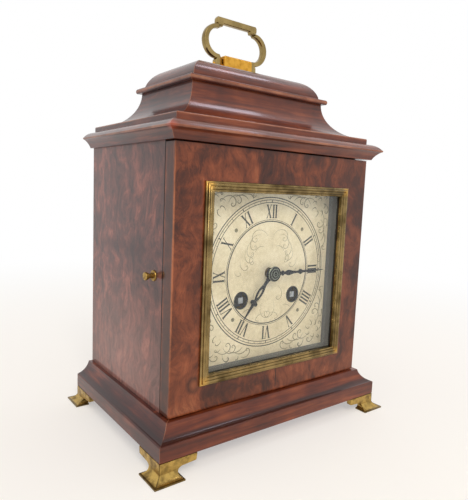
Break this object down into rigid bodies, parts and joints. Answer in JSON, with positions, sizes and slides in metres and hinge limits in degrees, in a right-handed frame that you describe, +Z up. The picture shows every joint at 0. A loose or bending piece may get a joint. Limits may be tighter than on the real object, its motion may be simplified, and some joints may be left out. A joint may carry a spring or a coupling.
{
  "type": "bracket clock",
  "caption": "Spring driven bracket clock in a veneered case with a caddy top, carrying handle, brass bracket feet, glazed front door and silvered square dial.",
  "frame": {"origin": "below the middle of the clock, on the plane that its feet stand on", "axes": "+X to the right and -Y out of the dial as the clock is looked at, +Z up"},
  "size_m": [0.1816, 0.1304, 0.2602],
  "materials": {
    "moulding": "French polished mahogany mouldings",
    "side_veneer": "French polished figured veneer",
    "door_veneer": "French polished burr veneer",
    "back_veneer": "polished plain veneer",
    "plain_wood": "stained hardwood",
    "lining": "slate grey lining",
    "glass": "flat clear glass",
    "aged_brass": "aged lacquered brass",
    "bright_brass": "bright polished brass",
    "antique_brass": "antique brass",
    "hardware_brass": "turned and rolled brass",
    "silvered_dial": "silvered and lacquered brass",
    "blued_steel": "blacked steel",
    "movement_brass": "polished movement brass",
    "steel": "turned steel",
    "gong_steel": "tempered wire",
    "iron": "blackened cast iron"
  },
  "bodies": {
    "case": {"plinth": "moulding", "left_side_board": "side_veneer", "right_side_board": "side_veneer", "cornice_board": "moulding", "caddy_sweep": "moulding", "caddy_lath": "moulding", "caddy_cushion": "moulding", "handle_bolts": "steel", "handle_base": "bright_brass", "bracket_feet": "aged_brass", "foot_screws": "steel", "case_hinge_leaves": "hardware_brass", "hinge_pins": "steel", "button_ferrule": "hardware_brass", "dial_surround": "plain_wood", "dial_plate": "silvered_dial", "dial_feet": "movement_brass", "front_plate": "movement_brass", "back_plate": "movement_brass", "plate_pillars": "movement_brass", "movement_screws": "steel", "seat_board": "plain_wood", "gong_coil": "gong_steel", "gong_stand": "iron", "escapement_platform": "movement_brass"},
    "front_door": {"door_frame": "door_veneer", "door_lining": "lining", "door_glass": "glass", "sight_bezel": "aged_brass", "door_hinge_leaves": "hardware_brass", "door_tongue": "steel"},
    "button": {"release_button": "hardware_brass", "latch_hook": "steel"},
    "bail": {"handle_bail": "antique_brass"},
    "rear_door": {"back_door": "back_veneer", "back_hinge_leaves": "hardware_brass"},
    "rear_knob": {"back_door_knob": "hardware_brass"},
    "minute_drive": {"minute_hand": "blued_steel", "hand_nut": "blued_steel", "cannon_pinion": "steel"},
    "motion_wheel": {"minute_wheel": "movement_brass"},
    "hour_drive": {"hour_hand": "blued_steel", "hour_wheel": "movement_brass"},
    "going_drum": {"going_barrel": "movement_brass"},
    "going_winder": {"going_winding_arbor": "steel"},
    "going_pawl": {"going_click": "steel"},
    "second": {"going_second_wheel": "movement_brass"},
    "centre": {"centre_wheel": "movement_brass"},
    "third": {"third_wheel": "movement_brass"},
    "fourth": {"fourth_wheel": "movement_brass"},
    "escape": {"escape_wheel": "steel"},
    "lever": {"pallet_lever": "steel"},
    "balance": {"balance_wheel": "movement_brass"},
    "strike_drum": {"strike_barrel": "movement_brass"},
    "strike_winder": {"strike_winding_arbor": "steel"},
    "strike_pawl": {"strike_click": "steel"},
    "pin": {"pin_wheel": "movement_brass"},
    "strike_third": {"strike_third_wheel": "movement_brass"},
    "vane": {"fly": "steel"},
    "striker": {"hammer": "steel"}
  },
  "joints": [
    {"name": "front_door_swing", "type": "hinge", "parent": "case", "child": "front_door", "pos_m": [0.0756, -0.03935, 0.0983], "axis": [0, 0, 1], "range_deg": [0, 110]},
    {"name": "button_press", "type": "slide", "parent": "case", "child": "button", "axis": [1, 0, 0], "range_m": [0, 0.0025], "stiffness_N_per_m": 800, "springref_m": -0.0005},
    {"name": "handle_swing", "type": "hinge", "parent": "case", "child": "bail", "pos_m": [0, 0.00525, 0.2308], "axis": [1, 0, 0], "range_deg": [-85, 85]},
    {"name": "back_door_swing", "type": "hinge", "parent": "case", "child": "rear_door", "pos_m": [0.0698, 0.0605, 0.1007], "axis": [0, 0, -1], "range_deg": [0, 100]},
    {"name": "back_knob_turn", "type": "hinge", "parent": "rear_door", "child": "rear_knob", "pos_m": [-0.0626, 0.0599, 0.1007], "axis": [0, 1, 0], "range_deg": [0, 90]},
    {"name": "minute_hand_turn", "type": "hinge", "parent": "case", "child": "minute_drive", "pos_m": [0, -0.0442, 0.1002], "axis": [0, 1, 0], "continuous": true},
    {"name": "minute_wheel_turn", "type": "hinge", "parent": "case", "child": "motion_wheel", "pos_m": [0.00853, -0.0294, 0.10873], "axis": [0, 1, 0], "continuous": true},
    {"name": "hour_hand_turn", "type": "hinge", "parent": "case", "child": "hour_drive", "pos_m": [0, -0.0425, 0.1002], "axis": [0, 1, 0], "continuous": true},
    {"name": "fourth_wheel_turn", "type": "hinge", "parent": "case", "child": "fourth", "pos_m": [0.00001, -0.0269, 0.12894], "axis": [0, 1, 0], "continuous": true},
    {"name": "third_wheel_turn", "type": "hinge", "parent": "case", "child": "third", "pos_m": [-0.00398, -0.0269, 0.11504], "axis": [0, 1, 0], "continuous": true},
    {"name": "centre_wheel_turn", "type": "hinge", "parent": "case", "child": "centre", "pos_m": [0, -0.0269, 0.1002], "axis": [0, 1, 0], "continuous": true},
    {"name": "second_wheel_turn", "type": "hinge", "parent": "case", "child": "second", "pos_m": [0.0154, -0.0269, 0.10475], "axis": [0, 1, 0], "continuous": true},
    {"name": "going_barrel_turn", "type": "hinge", "parent": "case", "child": "going_drum", "pos_m": [0.0212, -0.0269, 0.0845], "axis": [0, 1, 0], "continuous": true},
    {"name": "escape_wheel_turn", "type": "hinge", "parent": "case", "child": "escape", "pos_m": [0.01309, -0.0269, 0.1337], "axis": [0, 1, 0], "continuous": true},
    {"name": "pallet_lever_rock", "type": "hinge", "parent": "case", "child": "lever", "pos_m": [0.00649, 0.0091, 0.1337], "axis": [0, 1, 0], "range_deg": [-5, 5]},
    {"name": "balance_swing", "type": "hinge", "parent": "case", "child": "balance", "pos_m": [-0.00331, 0.0091, 0.1337], "axis": [0, 1, 0], "range_deg": [-220, 220], "stiffness_Nm_per_rad": 0.0000084},
    {"name": "going_winding_turn", "type": "hinge", "parent": "case", "child": "going_winder", "pos_m": [0.0212, -0.0294, 0.0845], "axis": [0, 1, 0], "continuous": true},
    {"name": "strike_winding_turn", "type": "hinge", "parent": "case", "child": "strike_winder", "pos_m": [-0.0212, -0.0294, 0.0845], "axis": [0, 1, 0], "continuous": true},
    {"name": "going_click_lift", "type": "hinge", "parent": "case", "child": "going_pawl", "pos_m": [0.03304, -0.0294, 0.08882], "axis": [0, 1, 0], "range_deg": [0, 15], "stiffness_Nm_per_rad": 0.0002, "springref_deg": -11.46},
    {"name": "strike_click_lift", "type": "hinge", "parent": "case", "child": "strike_pawl", "pos_m": [-0.03304, -0.0294, 0.08882], "axis": [0, -1, 0], "range_deg": [0, 15], "stiffness_Nm_per_rad": 0.0002, "springref_deg": -11.46},
    {"name": "strike_third_turn", "type": "hinge", "parent": "case", "child": "strike_third", "pos_m": [-0.02404, -0.0269, 0.11708], "axis": [0, 1, 0], "continuous": true},
    {"name": "pin_wheel_turn", "type": "hinge", "parent": "case", "child": "pin", "pos_m": [-0.0154, -0.0269, 0.10475], "axis": [0, 1, 0], "continuous": true},
    {"name": "strike_barrel_turn", "type": "hinge", "parent": "case", "child": "strike_drum", "pos_m": [-0.0212, -0.0269, 0.0845], "axis": [0, 1, 0], "continuous": true},
    {"name": "fly_turn", "type": "hinge", "parent": "case", "child": "vane", "pos_m": [-0.02624, -0.0269, 0.12955], "axis": [0, 1, 0], "continuous": true},
    {"name": "hammer_swing", "type": "hinge", "parent": "case", "child": "striker", "pos_m": [-0.036, 0.0091, 0.1062], "axis": [0, 1, 0], "range_deg": [0, 12]}
  ],
  "couplings": [
    {"joint": "minute_wheel_turn", "follows": "minute_hand_turn", "ratio": -0.33333},
    {"joint": "hour_hand_turn", "follows": "minute_hand_turn", "ratio": 0.083333},
    {"joint": "third_wheel_turn", "follows": "fourth_wheel_turn", "ratio": -0.125},
    {"joint": "centre_wheel_turn", "follows": "fourth_wheel_turn", "ratio": 0.016667},
    {"joint": "second_wheel_turn", "follows": "fourth_wheel_turn", "ratio": -0.002381},
    {"joint": "going_barrel_turn", "follows": "fourth_wheel_turn", "ratio": 0.00039683},
    {"joint": "escape_wheel_turn", "follows": "fourth_wheel_turn", "ratio": -10},
    {"joint": "pin_wheel_turn", "follows": "strike_third_turn", "ratio": -0.15385},
    {"joint": "strike_barrel_turn", "follows": "strike_third_turn", "ratio": 0.025641},
    {"joint": "fly_turn", "follows": "strike_third_turn", "ratio": -8}
  ]
}
